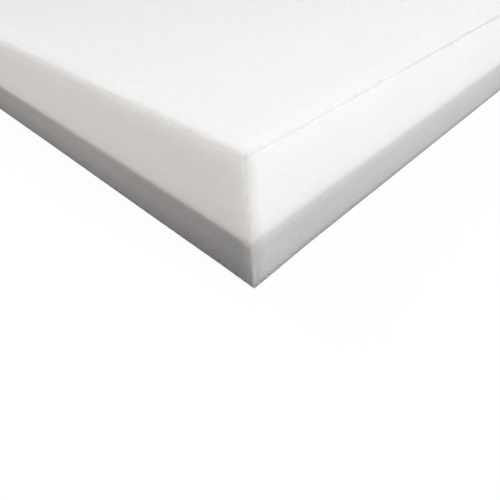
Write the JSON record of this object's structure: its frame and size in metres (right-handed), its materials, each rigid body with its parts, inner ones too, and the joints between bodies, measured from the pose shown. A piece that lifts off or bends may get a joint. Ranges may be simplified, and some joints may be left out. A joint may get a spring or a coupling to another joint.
{
  "type": "acoustic foam panel",
  "caption": "Flat sound-absorbing foam panel: a thick soft white layer glued on a thinner grey foam backing, cut flush, with softly rounded edges.",
  "frame": {"origin": "centre of the grey back face, the side that is glued down or laid on a surface", "axes": "+Z through the thickness, out of the white sound-catching face; +X along the length; +Y along the width"},
  "size_m": [0.5, 0.5, 0.05],
  "materials": {
    "white_foam": "matt open-cell foam with a fine grain",
    "grey_foam": "matt open-cell foam, slightly coarser"
  },
  "bodies": {
    "root": {"white_face_layer": "white_foam", "grey_backing_layer": "grey_foam"}
  },
  "joints": []
}
